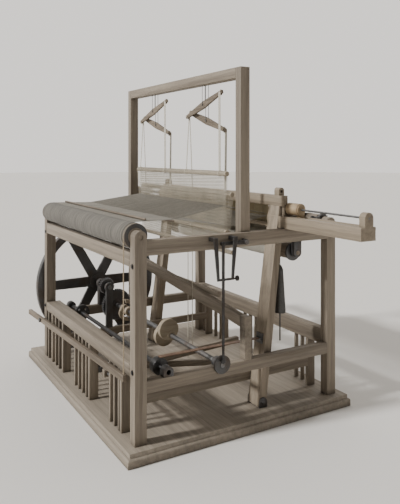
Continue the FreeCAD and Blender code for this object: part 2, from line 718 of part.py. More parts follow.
def levers(eyes):
    """Four levers in two crossed pairs; one end of each lifts a heald as the other lowers the other."""
    rise = heald_shift
    run = lever_eye * math.cos(math.radians(lever_tilt))
    tip = lever_len / 2
    off = lever_t / 2
    hangers = []
    for where, mid_y in zip(("far", "near"), lever_mid_y):
        for kind, z, tilt, x in (("upper", lever_upper_z, -1, lever_x[0]), ("lower", lever_lower_z, 1, lever_x[1])):
            bar = plate_yz([(mid_y - tip, z - lever_h * 0.22), (mid_y, z - lever_h / 2),
                            (mid_y + tip, z - lever_h * 0.22), (mid_y + tip, z + lever_h * 0.22),
                            (mid_y, z + lever_h / 2), (mid_y - tip, z + lever_h * 0.22)], x - off, x + off)
            bar = bar.cut(rod_x(mid_y, z, 4 + fit, x - 20, x + 20))
            bar.rotate(V(x, mid_y, z), V(1, 0, 0), tilt * lever_tilt)
            keep("%s_%s_lever" % (where, kind), bar)
            # wire stirrup from the top beam, with the lever's pin through it
            wires = [rod_z(x + s * (off + 3), mid_y, 1.5, z, arch_top_z - arch_beam_h) for s in (-1, 1)]
            pin = rod_x(mid_y, z, 4, x - off - 4.5, x + off + 4.5)
            hangers.append(wires[0].fuse(wires[1]).fuse(pin).removeSplitter())
            for side in (-1, 1):
                index = 0 if tilt * side > 0 else 1
                # crossing straps are set a little apart across the loom
                nudge = 5.0 * (tilt * side) if side > 0 else 0.0
                y = mid_y + side * run + nudge
                face = -1 if index == 0 else 1
                top = V(x + face * (off + gap + strap_r), y, z + tilt * side * rise + 8)
                foot = V(heald_x[index], y, eyes[index] + stave_up + stave_r + gap + 0.2)
                parts[("front", "back")[index] + "_heald_cords"] += [slant(foot, top, strap_r)]
    keep("lever_hangers", *hangers)


def treadles(eyes):
    run = treadle_end_x - treadle_pivot_x
    for index, name in ((0, "front"), (1, "back")):
        x = heald_x[index]
        turn = 0.0 if index == 0 else 2 * heald_shift / (x - treadle_pivot_x)
        y = treadle_y[index]
        h = treadle_h / 2
        x0 = treadle_pivot_x - 22
        z = treadle_pivot_z
        board = plate_xz([(x0, z - h * 0.8), (treadle_end_x, z + treadle_rise - h * 0.7),
                          (treadle_end_x, z + treadle_rise + h * 0.7), (x0, z + h * 0.8)], y, y + treadle_t)
        board = board.cut(rod_y(treadle_pivot_x, z, 8 + fit, y - 1, y + treadle_t + 1))
        board.rotate(V(treadle_pivot_x, 0, z), V(0, 1, 0), math.degrees(turn))
        keep(name + "_treadle", board)
        slope = math.atan2(treadle_rise, run) - turn
        top = z + (x - treadle_pivot_x) * math.tan(slope) + h
        cord = rod_z(x, y + treadle_t / 2, 2.5, top + 2, eyes[index] - stave_down - stave_r + 2 - gap)
        parts[name + "_heald_cords"] += [cord]


def studs_and_pins():
    """Fixed studs: treadle rod with its lugs, rocking-lever stud and tension-lever stud."""
    rod = rod_y(treadle_pivot_x, treadle_pivot_z, 8, stub_y[0] + board_t, W - stub_y[0] - board_t)
    for y in (stub_y[1], stub_y[2]):
        rod = rod.fuse(box(stub_depth, treadle_pivot_x + 14, y, y + 8, treadle_pivot_z - 14, treadle_pivot_z + 14))
    stud = rod_y(rocker_x, rocker_z, 7, out_y() - 14, 0)
    stud = stud.fuse(rod_y(rocker_x, rocker_z, 11, out_y() - 19, out_y() - 13))
    pin = rod_x(W - 30, tension_z, 6, tension_x[0] - 10, 0)
    washer = rod_x(W - 30, tension_z, 14, tension_x[0] - 10, tension_x[0] - 5)
    keep("studs_and_pins", rod.removeSplitter(), stud.removeSplitter(), pin.fuse(washer).removeSplitter())


# ---- rods, levers and weights of the near side ----
def out_y():
    return -crank_t - 2 - gap


def near_side_motion():
    y_out, px, pz, x = out_y(), rocker_x, rocker_z, rod_x_at
    arm = plate_xz([(x - 8, pz - 6), (px, pz - 11), (px, pz + 11), (x - 8, pz + 8)], y_out - 9, y_out - 1)
    arm = arm.fuse(rod_y(px, pz, 14, y_out - 11, -gap)).removeSplitter()
    arm = arm.cut(rod_y(px, pz, 7 + fit, -60, 5))
    pin = rod_y(x, pz, 5, y_out - 24, y_out - 5)
    keep("rocker_lever", arm.fuse(pin).removeSplitter())
    rod = plate_xz([(x - 7, pz + 8), (x + 7, pz + 8), (x + 5, cam_z + 24), (x - 5, cam_z + 24)],
                   y_out - 21, y_out - 12)
    rod = rod.fuse(rod_y(x, pz, 12, y_out - 21, y_out - 12))
    rod = rod.fuse(rod_y(x, cam_z + 22, 11, y_out - 21, y_out - 12))
    rod = rod.fuse(rod_y(x, cam_z + 22, 5, y_out - 12, y_out)).removeSplitter()
    keep("connecting_rod", rod.cut(rod_y(x, pz, 5 + fit, y_out - 30, y_out - 5)))

    # stirrup that guards the connecting rod: two legs from the rail, a cross bar and a screw
    y0, y1 = y_out - 34, y_out - 26
    lug_z = (top_rail_z[1] - 26, top_rail_z[1] - 8)
    group = box(x - 42, x + 50, y0, y1, 698, 708)
    for leg_x, foot_x in ((x - 52, x - 36), (x + 60, x + 44)):
        leg = plate_xz([(leg_x - 11, lug_z[1]), (leg_x + 11, lug_z[1]), (foot_x + 6, 704), (foot_x - 6, 704)], y0, y1)
        group = group.fuse(leg).fuse(box(leg_x - 9, leg_x + 9, y0, 0, lug_z[0], lug_z[1]))
    y = (y0 + y1) / 2
    group = group.fuse(rod_x(y, 703, 4, x + 50, x + 70)).fuse(rod_x(y, 703, 13, x + 66, x + 74))
    keep("rod_stirrup", group.removeSplitter())


def tension():
    """Lever that loads the rope brake of the warp roller."""
    x0, x1 = tension_x
    z, y_pin = tension_z, W - 30
    near_z = z + tension_rise
    slope = tension_rise / (y_pin - tension_near)
    far_z = z - slope * (30 + tension_over)
    bar = plate_yz([(tension_near, near_z - 15), (W + tension_over, far_z - 15),
                    (W + tension_over, far_z + 15), (tension_near, near_z + 15)], x0, x1)
    keep("tension_lever", bar.cut(rod_x(y_pin, z, 6 + fit, -60, 10)))
    rope_x = roller_x - warp_head_r + brake_groove - gap - 3
    rope_y = (warp_head_y[0] + warp_head_y[1]) / 2
    foot = near_z + 15 - slope * (rope_y - 3 - tension_near)
    keep("brake_rope", rod_z(rope_x, rope_y, 3, foot, bearing_z))


def weight():
    """Weight on a cord from the cloth roller, with the cord's tail below it."""
    x, y = cloth_roller_x - cloth_core_r - 2 * gap - knot_r, weight_y
    top, foot = weight_z
    profile = [V(x, y, top + 8), V(x + 8, y, top), V(x + 17, y, top - 20), V(x + weight_r, y, foot + 8),
               V(x + weight_r - 3, y, foot), V(x, y, foot)]
    wire = Part.makePolygon(profile + [profile[0]])
    body = Part.Face(wire).revolve(V(x, y, 0), V(0, 0, 1), 360)
    body = body.fuse(rod_z(x, y, 2, top, cloth_roller_z)).fuse(rod_z(x, y, 4, weight_tail_z, foot + 5))
    keep("cloth_weight", body.fuse(rod_y(x, cloth_roller_z, knot_r, y - 4, y + 4)).removeSplitter())


plinth()
framing()
uprights_and_inner_rails()
arch()
guide_frame()
rollers()
pawl()
main_z = shafts()
iron_bearings(main_z)
batten()
draw_strap()
pickers_and_shuttle()
warp_and_cloth()
eyes = [heald(0, "front"), heald(1, "back")]
levers(eyes)
treadles(eyes)
studs_and_pins()
near_side_motion()
tension()
weight()

os.makedirs("parts", exist_ok=True)
shift = V(-L / 2, -W / 2, plinth_h)
for name, solids in parts.items():
    shape = Part.makeCompound(solids) if len(solids) > 1 else solids[0]
    shape.translate(shift)
    shape.exportStep("parts/%s.step" % name)
print(len(parts), "nodes; main shaft z %.2f; pivot x %.2f" % (main_z, pivot_x()))
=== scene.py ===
import json
import math
import random

import bpy
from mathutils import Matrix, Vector


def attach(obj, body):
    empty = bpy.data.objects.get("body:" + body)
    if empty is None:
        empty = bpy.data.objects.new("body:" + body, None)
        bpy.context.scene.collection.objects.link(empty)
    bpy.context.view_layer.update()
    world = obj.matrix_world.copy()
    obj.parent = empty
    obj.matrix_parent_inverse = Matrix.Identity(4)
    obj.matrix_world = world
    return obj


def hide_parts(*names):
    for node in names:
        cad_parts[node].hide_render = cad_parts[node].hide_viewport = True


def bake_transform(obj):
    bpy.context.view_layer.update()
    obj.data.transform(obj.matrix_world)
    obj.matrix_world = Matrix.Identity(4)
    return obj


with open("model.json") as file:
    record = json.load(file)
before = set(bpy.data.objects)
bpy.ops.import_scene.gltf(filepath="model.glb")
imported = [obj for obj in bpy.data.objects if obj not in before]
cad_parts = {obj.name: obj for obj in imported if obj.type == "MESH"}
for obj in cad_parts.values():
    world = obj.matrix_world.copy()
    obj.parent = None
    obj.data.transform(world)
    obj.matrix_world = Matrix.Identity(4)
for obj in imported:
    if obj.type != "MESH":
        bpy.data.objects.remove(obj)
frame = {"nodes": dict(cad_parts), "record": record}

random.seed(11)
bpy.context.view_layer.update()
ownerOf = {node: body for body, nodes in frame["record"]["behaviour"]["bodies"].items() for node in nodes}
# mm: outside the posts, and the height of the plinth
loom = {"length": 1183.0, "width": 1423.0, "plinth": 59.0}


# mm on the loom, from the foot of the near post at the warp end
def at(x, y, z):
    return Vector(((x - loom["length"] / 2) / 1000, (y - loom["width"] / 2) / 1000,
                   (z + loom["plinth"]) / 1000))


# camera, light and floor
view = {"place": (-1.6674, -3.1151, 1.359), "turn": -30.38, "lens": 42.38, "shift": -0.196}
camera = bpy.data.objects.new("camera", bpy.data.cameras.new("camera"))
camera.data.lens = view["lens"]
camera.data.sensor_fit = "VERTICAL"
camera.data.sensor_height = 36
camera.data.shift_y = view["shift"]
camera.location = view["place"]
camera.rotation_euler = (math.radians(90), 0, math.radians(view["turn"]))
bpy.context.scene.collection.objects.link(camera)
bpy.context.scene.camera = camera

studio = {
    "sun": {"from": (-0.80, 0.10, 0.58), "strength": 4.0, "angle": 5.0},
    "rim": {"place": (-1.5, -5.0, 3.2), "aim": (0, 0, 0.7), "size": 4.0, "power": 6},
    "skyAway": (0.92, 0.885, 0.84, 1), "skyNear": (0.19, 0.185, 0.178, 1), "skyStrength": 1.3,
    "skyTurn": (0.506, 0.863), "skyEdge": (-0.35, 0.45), "floor": (0.71, 0.685, 0.645, 1),
}
sun = bpy.data.objects.new("sun", bpy.data.lights.new("sun", "SUN"))
sun.data.energy = studio["sun"]["strength"]
sun.data.angle = math.radians(studio["sun"]["angle"])
sun.rotation_euler = Vector(studio["sun"]["from"]).to_track_quat("Z", "Y").to_euler()
bpy.context.scene.collection.objects.link(sun)
rim = bpy.data.objects.new("rim", bpy.data.lights.new("rim", "AREA"))
rim.data.size = studio["rim"]["size"]
rim.data.energy = studio["rim"]["power"]
rim.location = studio["rim"]["place"]
rimAim = Vector(studio["rim"]["aim"]) - Vector(studio["rim"]["place"])
rim.rotation_euler = rimAim.to_track_quat("-Z", "Y").to_euler()
bpy.context.scene.collection.objects.link(rim)

# the sky is pale behind the loom and dim behind the viewer, so that the near faces stand in shade
world = bpy.context.scene.world or bpy.data.worlds.new("sky")
bpy.context.scene.world = world
world.use_nodes = True
sky = world.node_tree
ways = sky.nodes.new("ShaderNodeTexCoord")
facing = sky.nodes.new("ShaderNodeVectorMath")
facing.operation = "DOT_PRODUCT"
sky.links.new(ways.outputs["Generated"], facing.inputs[0])
facing.inputs[1].default_value = (*studio["skyTurn"], 0.0)
share = sky.nodes.new("ShaderNodeMapRange")
share.inputs["From Min"].default_value = studio["skyEdge"][0]
share.inputs["From Max"].default_value = studio["skyEdge"][1]
sky.links.new(facing.outputs["Value"], share.inputs["Value"])
skyTone = sky.nodes.new("ShaderNodeMix")
skyTone.data_type = "RGBA"
skyTone.inputs[6].default_value = studio["skyNear"]
skyTone.inputs[7].default_value = studio["skyAway"]
sky.links.new(share.outputs[0], skyTone.inputs[0])
sky.links.new(skyTone.outputs[2], sky.nodes["Background"].inputs["Color"])
sky.nodes["Background"].inputs["Strength"].default_value = studio["skyStrength"]
print("camera and lights placed")


# shader groups
def newGroup(name, inputs, outputs):
    group = bpy.data.node_groups.new(name, "ShaderNodeTree")
    for label, kind, value in inputs:
        socket = group.interface.new_socket(label, in_out="INPUT", socket_type=kind)
        if value is not None:
            socket.default_value = value
    for label, kind in outputs:
        group.interface.new_socket(label, in_out="OUTPUT", socket_type=kind)
    return group, group.nodes.new("NodeGroupInput"), group.nodes.new("NodeGroupOutput")


# a node with its settings, and its inputs, named or numbered as i0, linked from sockets or set to values
def addNode(tree, kind, settings=None, **links):
    node = tree.nodes.new(kind)
    for key, value in (settings or {}).items():
        setattr(node, key, value)
    for key, value in links.items():
        numbered = key[0] == "i" and key[1:].isdigit()
        socket = node.inputs[int(key[1:]) if numbered else key.replace("_", " ")]
        if isinstance(value, bpy.types.NodeSocket):
            tree.links.new(value, socket)
        else:
            socket.default_value = value
    return node


def mixColour(tree, factor, a, b, blendType="MIX"):
    node = addNode(tree, "ShaderNodeMix", {"data_type": "RGBA", "blend_type": blendType})
    for index, value in ((0, factor), (6, a), (7, b)):
        if isinstance(value, bpy.types.NodeSocket):
            tree.links.new(value, node.inputs[index])
        else:
            node.inputs[index].default_value = value
    return node.outputs[2]


def mathNode(tree, operation, a, b=0.0, clamp=False):
    node = addNode(tree, "ShaderNodeMath", {"operation": operation, "use_clamp": clamp}, i0=a)
    if isinstance(b, bpy.types.NodeSocket):
        tree.links.new(b, node.inputs[1])
    else:
        node.inputs[1].default_value = b
    return node.outputs[0]


# stops are the two values read and the two that they become
def rampNode(tree, factor, stops):
    node = addNode(tree, "ShaderNodeMapRange", {"clamp": True}, Value=factor,
                   From_Min=stops[0], From_Max=stops[1], To_Min=stops[2], To_Max=stops[3])
    return node.outputs[0]


# noise drawn out by its own scale on each axis
def drawnNoise(tree, vector, scale, **settings):
    drawn = addNode(tree, "ShaderNodeMapping", None, Vector=vector, Scale=scale)
    return addNode(tree, "ShaderNodeTexNoise", None, Vector=drawn.outputs[0], Scale=1.0, **settings)


# Worn: 1 along arrises and corners. The second output is painted shade: 1 in recesses, from ambient
# occlusion.
def wearAndShadeGroup():
    group, start, end = newGroup("arrisWearAndShade", [("Radius", "NodeSocketFloat", 0.004)],
                                 [("Worn", "NodeSocketFloat"), ("PaintedShade", "NodeSocketFloat")])
    rounded = addNode(group, "ShaderNodeBevel", {"samples": 4})
    group.links.new(start.outputs["Radius"], rounded.inputs["Radius"])
    flat = addNode(group, "ShaderNodeNewGeometry")
    same = addNode(group, "ShaderNodeVectorMath", {"operation": "DOT_PRODUCT"}, i0=rounded.outputs[0],
                   i1=flat.outputs["Normal"])
    edge = rampNode(group, same.outputs["Value"], (0.995, 0.80, 0.0, 1.0))
    where = addNode(group, "ShaderNodeTexCoord")
    patch = addNode(group, "ShaderNodeTexNoise", None, Vector=where.outputs["Object"], Scale=23.0, Detail=3.0)
    broken = rampNode(group, patch.outputs["Fac"], (0.35, 0.62, 0.25, 1.0))
    group.links.new(mathNode(group, "MULTIPLY", edge, broken, True), end.inputs["Worn"])
    # painted shade: ambient occlusion gives a mask that is 1 in recesses, where shade falls
    hidden = addNode(group, "ShaderNodeAmbientOcclusion", {"samples": 4}, Distance=0.05)
    paintedShade = rampNode(group, hidden.outputs["AO"], (0.75, 0.25, 0.0, 1.0))
    group.links.new(paintedShade, end.inputs["PaintedShade"])
    return group


# Timber sawn along X of the vector it is given.
def grainGroup():
    group, start, end = newGroup("timberGrain", [
        ("Vector", "NodeSocketVector", None), ("Pale", "NodeSocketColor", (0.5, 0.4, 0.3, 1)),
        ("Dark", "NodeSocketColor", (0.3, 0.2, 0.15, 1)), ("Figure", "NodeSocketFloat", 0.6),
    ], [("Color", "NodeSocketColor"), ("Height", "NodeSocketFloat"), ("Roughness", "NodeSocketFloat")])
    vector = start.outputs["Vector"]
    wander = drawnNoise(group, vector, (1.4, 5.0, 5.0), Detail=3.0)
    push = addNode(group, "ShaderNodeVectorMath", {"operation": "SCALE"}, i0=wander.outputs["Color"],
                   Scale=0.035)
    moved = addNode(group, "ShaderNodeVectorMath", {"operation": "ADD"}, i0=vector, i1=push.outputs[0])
    rings = drawnNoise(group, moved.outputs[0], (1.1, 46.0, 46.0), Detail=4.0, Roughness=0.6)
    fibre = drawnNoise(group, moved.outputs[0], (9.0, 520.0, 520.0), Detail=2.0)
    board = drawnNoise(group, vector, (0.8, 6.0, 6.0), Detail=1.0)
    ringMask = rampNode(group, rings.outputs["Fac"], (0.42, 0.66, 0.0, 1.0))
    figure = mathNode(group, "MULTIPLY", ringMask, start.outputs["Figure"])
    tone = mixColour(group, figure, start.outputs["Pale"], start.outputs["Dark"])
    shade = rampNode(group, board.outputs["Fac"], (0.3, 0.7, 0.80, 1.16))
    tone = mixColour(group, 1.0, tone, shade, "MULTIPLY")
    lines = rampNode(group, fibre.outputs["Fac"], (0.35, 0.6, 0.84, 1.04))
    tone = mixColour(group, 1.0, tone, lines, "MULTIPLY")
    group.links.new(tone, end.inputs["Color"])
    height = mathNode(group, "ADD", mathNode(group, "MULTIPLY", rings.outputs["Fac"], 0.5),
                      mathNode(group, "MULTIPLY", fibre.outputs["Fac"], 0.5))
    group.links.new(height, end.inputs["Height"])
    group.links.new(rampNode(group, rings.outputs["Fac"], (0.3, 0.7, 0.62, 0.78)), end.inputs["Roughness"])
    return group


# Sand-cast or forged skin, oiled and browned.
def ironGroup():
    group, start, end = newGroup("ironSkin", [
        ("Vector", "NodeSocketVector", None), ("Metal", "NodeSocketColor", (0.05, 0.05, 0.05, 1)),
        ("Rust", "NodeSocketColor", (0.12, 0.07, 0.045, 1)), ("Size", "NodeSocketFloat", 260.0),
    ], [("Color", "NodeSocketColor"), ("Height", "NodeSocketFloat"), ("Roughness", "NodeSocketFloat")])
    vector = start.outputs["Vector"]
    sand = addNode(group, "ShaderNodeTexNoise", None, Vector=vector, Scale=start.outputs["Size"], Detail=3.0)
    bloom = addNode(group, "ShaderNodeTexNoise", None, Vector=vector, Scale=9.0, Detail=6.0, Roughness=0.65)
    mask = rampNode(group, bloom.outputs["Fac"], (0.5, 0.72, 0.0, 0.75))
    tone = mixColour(group, mask, start.outputs["Metal"], start.outputs["Rust"])
    speck = rampNode(group, sand.outputs["Fac"], (0.3, 0.7, 0.82, 1.15))
    group.links.new(mixColour(group, 1.0, tone, speck, "MULTIPLY"), end.inputs["Color"])
    group.links.new(sand.outputs["Fac"], end.inputs["Height"])
    group.links.new(rampNode(group, bloom.outputs["Fac"], (0.35, 0.7, 0.38, 0.72)), end.inputs["Roughness"])
    return group


# Plain weave on the piece's own UV map, where 1 is a metre.
def weaveGroup():
    group, start, end = newGroup("plainWeave", [
        ("Vector", "NodeSocketVector", None), ("Yarn", "NodeSocketColor", (0.8, 0.77, 0.7, 1)),
        ("Shadow", "NodeSocketColor", (0.5, 0.46, 0.4, 1)), ("Ends", "NodeSocketFloat", 760.0),
    ], [("Color", "NodeSocketColor"), ("Height", "NodeSocketFloat")])
    split = addNode(group, "ShaderNodeSeparateXYZ", None, Vector=start.outputs["Vector"])
    waves = []
    for axis in (0, 1):
        turns = mathNode(group, "MULTIPLY", split.outputs[axis], start.outputs["Ends"])
        waves.append(mathNode(group, "SINE", mathNode(group, "MULTIPLY", turns, math.pi)))
    over = mathNode(group, "MULTIPLY", waves[0], waves[1])
    height = rampNode(group, over, (-1.0, 1.0, 0.0, 1.0))
    slub = drawnNoise(group, start.outputs["Vector"], (6.0, 160.0, 1.0), Detail=3.0)
    uneven = rampNode(group, slub.outputs["Fac"], (0.3, 0.7, 0.86, 1.08))
    tone = mixColour(group, height, start.outputs["Shadow"], start.outputs["Yarn"])
    tone = mixColour(group, 1.0, tone, uneven, "MULTIPLY")
    group.links.new(tone, end.inputs["Color"])
    group.links.new(height, end.inputs["Height"])
    return group


groups = {"wearAndShade": wearAndShadeGroup(), "grain": grainGroup(), "iron": ironGroup(), "weave": weaveGroup()}


def groupNode(tree, which, **links):
    node = tree.nodes.new("ShaderNodeGroup")
    node.node_tree = groups[which]
    for key, value in links.items():
        socket = node.inputs[key]
        if isinstance(value, bpy.types.NodeSocket):
            tree.links.new(value, socket)
        else:
            socket.default_value = value
    return node


def newMaterial(name, tone):
    material = bpy.data.materials.new(name)
    material.diffuse_color = tone
    material.use_nodes = True
    shader = material.node_tree.nodes["Principled BSDF"]
    return material, material.node_tree, shader


def bump(tree, shader, height, strength, distance):
    node = addNode(tree, "ShaderNodeBump", None, Height=height, Strength=strength, Distance=distance)
    tree.links.new(node.outputs[0], shader.inputs["Normal"])


# along is the way the grain runs: X, Y or Z
def timber(name, along, pale, dark, figure=0.6, polish=0.0):
    material, tree, shader = newMaterial(name, pale)
    turn = {"X": (0, 0, 0), "Y": (0, 0, math.radians(-90)), "Z": (0, math.radians(90), 0)}[along]
    where = addNode(tree, "ShaderNodeTexCoord")
    turned = addNode(tree, "ShaderNodeMapping", None, Vector=where.outputs["Object"], Rotation=turn)
    grain = groupNode(tree, "grain", Vector=turned.outputs[0], Pale=pale, Dark=dark, Figure=figure)
    wearAndShade = groupNode(tree, "wearAndShade", Radius=0.005)
    worn = mixColour(tree, mathNode(tree, "MULTIPLY", wearAndShade.outputs["Worn"], 0.55), grain.outputs["Color"],
                     tuple(min(1.0, c * 1.35) for c in pale[:3]) + (1,))
    # painted shade: the timber is darkened towards a dark grain tone in recesses, by the ambient occlusion
    # mask
    paintedShadeTone = mixColour(tree, mathNode(tree, "MULTIPLY", wearAndShade.outputs["PaintedShade"], 0.55), worn,
                      tuple(c * 0.33 for c in dark[:3]) + (1,))
    tree.links.new(paintedShadeTone, shader.inputs["Base Color"])
    rubbed = mathNode(tree, "MULTIPLY", wearAndShade.outputs["Worn"], 0.12 + polish)
    rough = mathNode(tree, "SUBTRACT", grain.outputs["Roughness"], rubbed)
    tree.links.new(rough, shader.inputs["Roughness"])
    bump(tree, shader, grain.outputs["Height"], 0.55, 0.0009)
    return material


def metal(name, colour, rust, size=260.0, metallic=1.0, edge=(0.34, 0.33, 0.32, 1)):
    material, tree, shader = newMaterial(name, colour)
    shader.inputs["Metallic"].default_value = metallic
    where = addNode(tree, "ShaderNodeTexCoord")
    skin = groupNode(tree, "iron", Vector=where.outputs["Object"], Metal=colour, Rust=rust, Size=size)
    wearAndShade = groupNode(tree, "wearAndShade", Radius=0.003)
    worn = mixColour(tree, mathNode(tree, "MULTIPLY", wearAndShade.outputs["Worn"], 0.7), skin.outputs["Color"], edge)
    # painted shade: the iron is darkened to near black in recesses, by the ambient occlusion mask
    paintedShade = mathNode(tree, "MULTIPLY", wearAndShade.outputs["PaintedShade"], 0.6)
    paintedShadeTone = mixColour(tree, paintedShade, worn, (0.012, 0.011, 0.010, 1))
    tree.links.new(paintedShadeTone, shader.inputs["Base Color"])
    rubbed = mathNode(tree, "MULTIPLY", wearAndShade.outputs["Worn"], 0.18)
    rough = mathNode(tree, "SUBTRACT", skin.outputs["Roughness"], rubbed)
    tree.links.new(rough, shader.inputs["Roughness"])
    bump(tree, shader, skin.outputs["Height"], 0.4, 0.0005)
    return material


def yarnCloth(name, yarn, shadow, ends=760.0):
    material, tree, shader = newMaterial(name, yarn)
    where = addNode(tree, "ShaderNodeTexCoord")
    weave = groupNode(tree, "weave", Vector=where.outputs["UV"], Yarn=yarn, Shadow=shadow, Ends=ends)
    tree.links.new(weave.outputs["Color"], shader.inputs["Base Color"])
    shader.inputs["Roughness"].default_value = 0.92
    shader.inputs["Sheen Weight"].default_value = 0.25
    bump(tree, shader, weave.outputs["Height"], 0.5, 0.0004)
    return material


# thread, cord or rope: fine slubs and hairy variation
def spun(name, pale, dark, size=420.0, streak=(14.0, 14.0, 14.0), depth=0.85):
    material, tree, shader = newMaterial(name, pale)
    where = addNode(tree, "ShaderNodeTexCoord")
    slub = addNode(tree, "ShaderNodeTexNoise", None, Vector=where.outputs["Object"], Scale=size, Detail=3.0)
    cloud = drawnNoise(tree, where.outputs["Object"], streak, Detail=2.0)
    mask = mathNode(tree, "MULTIPLY", rampNode(tree, slub.outputs["Fac"], (0.35, 0.65, 0.0, 1.0)), 0.6)
    tone = mixColour(tree, mask, pale, dark)
    uneven = rampNode(tree, cloud.outputs["Fac"], (0.3, 0.7, depth, 1.1))
    tone = mixColour(tree, 1.0, tone, uneven, "MULTIPLY")
    tree.links.new(tone, shader.inputs["Base Color"])
    shader.inputs["Roughness"].default_value = 0.9
    shader.inputs["Sheen Weight"].default_value = 0.06
    bump(tree, shader, slub.outputs["Fac"], 0.4, 0.0004)
    return material


# oiled or raw leather with pores and creases
def hide(name, pale, dark):
    material, tree, shader = newMaterial(name, pale)
    where = addNode(tree, "ShaderNodeTexCoord")
    pores = addNode(tree, "ShaderNodeTexVoronoi", {"feature": "DISTANCE_TO_EDGE"},
                    Vector=where.outputs["Object"], Scale=520.0)
    blotch = addNode(tree, "ShaderNodeTexNoise", None, Vector=where.outputs["Object"], Scale=30.0, Detail=5.0)
    wearAndShade = groupNode(tree, "wearAndShade", Radius=0.004)
    tone = mixColour(tree, rampNode(tree, blotch.outputs["Fac"], (0.35, 0.68, 0.0, 1.0)), pale, dark)
    tone = mixColour(tree, mathNode(tree, "MULTIPLY", wearAndShade.outputs["Worn"], 0.5), tone,
                     tuple(min(1.0, c * 1.4) for c in pale[:3]) + (1,))
    tree.links.new(tone, shader.inputs["Base Color"])
    tree.links.new(rampNode(tree, blotch.outputs["Fac"], (0.3, 0.7, 0.48, 0.66)), shader.inputs["Roughness"])
    bump(tree, shader, rampNode(tree, pores.outputs["Distance"], (0.0, 0.12, 0.0, 1.0)), 0.35, 0.0004)
    return material


palePine = (0.25, 0.208, 0.158, 1)
darkPine = (0.115, 0.090, 0.066, 1)
finishes = {
    "postWood": timber("postWood", "Z", palePine, darkPine),
    "railWood": timber("railWood", "X", palePine, darkPine),
    "crossWood": timber("crossWood", "Y", palePine, darkPine),
    "plinthWood": timber("plinthWood", "Y", (0.27, 0.228, 0.176, 1), (0.135, 0.108, 0.08, 1), 0.45),
    "battenWood": timber("battenWood", "Y", (0.28, 0.228, 0.165, 1), (0.135, 0.102, 0.07, 1), 0.5, 0.08),
    "swordWood": timber("swordWood", "Z", (0.30, 0.245, 0.18, 1), (0.145, 0.112, 0.078, 1), 0.5, 0.08),
    "leverWood": timber("leverWood", "Y", (0.19, 0.15, 0.108, 1), (0.085, 0.064, 0.045, 1), 0.6, 0.06),
    "treadleWood": timber("treadleWood", "X", (0.235, 0.195, 0.148, 1), (0.105, 0.083, 0.06, 1), 0.7),
    "rollerWood": timber("rollerWood", "Y", (0.23, 0.19, 0.145, 1), (0.11, 0.086, 0.062, 1), 0.5, 0.08),
    "staveWood": timber("staveWood", "Y", (0.44, 0.375, 0.285, 1), (0.28, 0.23, 0.165, 1), 0.5, 0.08),
    "camWood": timber("camWood", "X", (0.34, 0.28, 0.20, 1), (0.18, 0.14, 0.095, 1), 0.5, 0.1),
    "boxwood": timber("boxwood", "Y", (0.46, 0.31, 0.15, 1), (0.28, 0.17, 0.08, 1), 0.4, 0.2),
    "cane": timber("cane", "Z", (0.50, 0.42, 0.27, 1), (0.33, 0.26, 0.15, 1), 0.4, 0.1),
    "castIron": metal("castIron", (0.105, 0.104, 0.105, 1), (0.12, 0.085, 0.06, 1), 260.0, 0.75),
    "wroughtIron": metal("wroughtIron", (0.075, 0.074, 0.074, 1), (0.09, 0.06, 0.04, 1), 120.0),
    "weightIron": metal("weightIron", (0.085, 0.083, 0.08, 1), (0.10, 0.075, 0.055, 1), 200.0, 0.8),
    "turnedSteel": metal("turnedSteel", (0.20, 0.20, 0.20, 1), (0.13, 0.09, 0.06, 1), 300.0),
    "warpYarn": spun("warpYarn", (0.36, 0.335, 0.285, 1), (0.18, 0.162, 0.13, 1),
                     420.0, (1.0, 150.0, 1.0), 0.55),
    # the yarn on the roller is the warp yarn painted at about half its brightness: painted shade on the roll
    "shadedWoundYarn": spun("shadedWoundYarn", (0.185, 0.17, 0.143, 1), (0.08, 0.072, 0.058, 1),
                      420.0, (9.0, 190.0, 9.0), 0.45),
    "paleTape": yarnCloth("paleTape", (0.58, 0.54, 0.46, 1), (0.34, 0.31, 0.25, 1), 900.0),
    "healdCord": spun("healdCord", (0.60, 0.55, 0.45, 1), (0.38, 0.33, 0.25, 1)),
    "hemp": spun("hemp", (0.44, 0.36, 0.25, 1), (0.25, 0.19, 0.12, 1), 260.0),
    "wovenCloth": yarnCloth("wovenCloth", (0.70, 0.67, 0.59, 1), (0.44, 0.41, 0.34, 1)),
    "strapLeather": hide("strapLeather", (0.17, 0.10, 0.06, 1), (0.09, 0.05, 0.03, 1)),
    "rawHide": hide("rawHide", (0.40, 0.30, 0.18, 1), (0.24, 0.17, 0.10, 1)),
}
print("finishes made")


# tools for making pieces
def clearSelection():
    bpy.ops.object.select_all(action="DESELECT")


def pick(piece):
    clearSelection()
    piece.select_set(True)
    bpy.context.view_layer.objects.active = piece


def applyModifier(piece, kind, **settings):
    pick(piece)
    modifier = piece.modifiers.new(kind.lower(), kind)
    for key, value in settings.items():
        setattr(modifier, key, value)
    bpy.ops.object.modifier_apply(modifier=modifier.name)


def smooth(piece, angle=35):
    pick(piece)
    bpy.ops.object.shade_smooth_by_angle(angle=math.radians(angle))


# names it, puts its place into its mesh and gives it its finish
def settle(piece, name, finish):
    pick(piece)
    bpy.ops.object.transform_apply(location=True, rotation=True, scale=True)
    piece.name = name
    piece.data.materials.clear()
    piece.data.materials.append(finishes[finish])
    return piece


# a squared piece between two corners, with its arrises eased
def block(low, high, edge=0.0015):
    low, high = at(*low), at(*high)
    clearSelection()
    bpy.ops.mesh.primitive_cube_add(size=1, location=(low + high) / 2)
    piece = bpy.context.active_object
    piece.scale = high - low
    bpy.ops.object.transform_apply(location=False, rotation=False, scale=True)
    applyModifier(piece, "BEVEL", width=edge, segments=2)
    return piece


